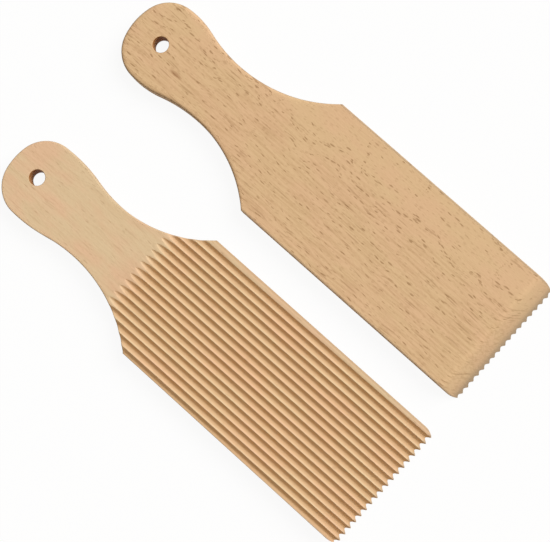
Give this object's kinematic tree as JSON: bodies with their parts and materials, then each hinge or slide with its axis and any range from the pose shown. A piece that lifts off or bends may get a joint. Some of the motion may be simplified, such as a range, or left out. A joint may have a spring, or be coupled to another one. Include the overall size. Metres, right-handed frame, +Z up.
{
  "type": "gnocchi board",
  "caption": "Matching flat wooden paddles with round-ended handles and hanging holes, fluted along one face for ridging gnocchi; one lies flutes up, the other plain face up.",
  "frame": {"origin": "middle of the pair's footprint, on the surface that both boards lie on", "axes": "+X along both boards from handle to blade end, +Y from the flutes-up board to the plain-face-up board, +Z up"},
  "size_m": [0.213, 0.1402, 0.009],
  "materials": {
    "beech": "bare sanded beech, dry and matte, with short dark flecks along the grain"
  },
  "bodies": {
    "ribs_up": {"ribs_up_board": "beech"},
    "plain_up": {"plain_up_board": "beech"}
  },
  "joints": [
    {"name": "plain_up_lift", "type": "slide", "parent": "ribs_up", "child": "plain_up", "axis": [0, 0, 1], "range_m": [0, 0.12]}
  ]
}
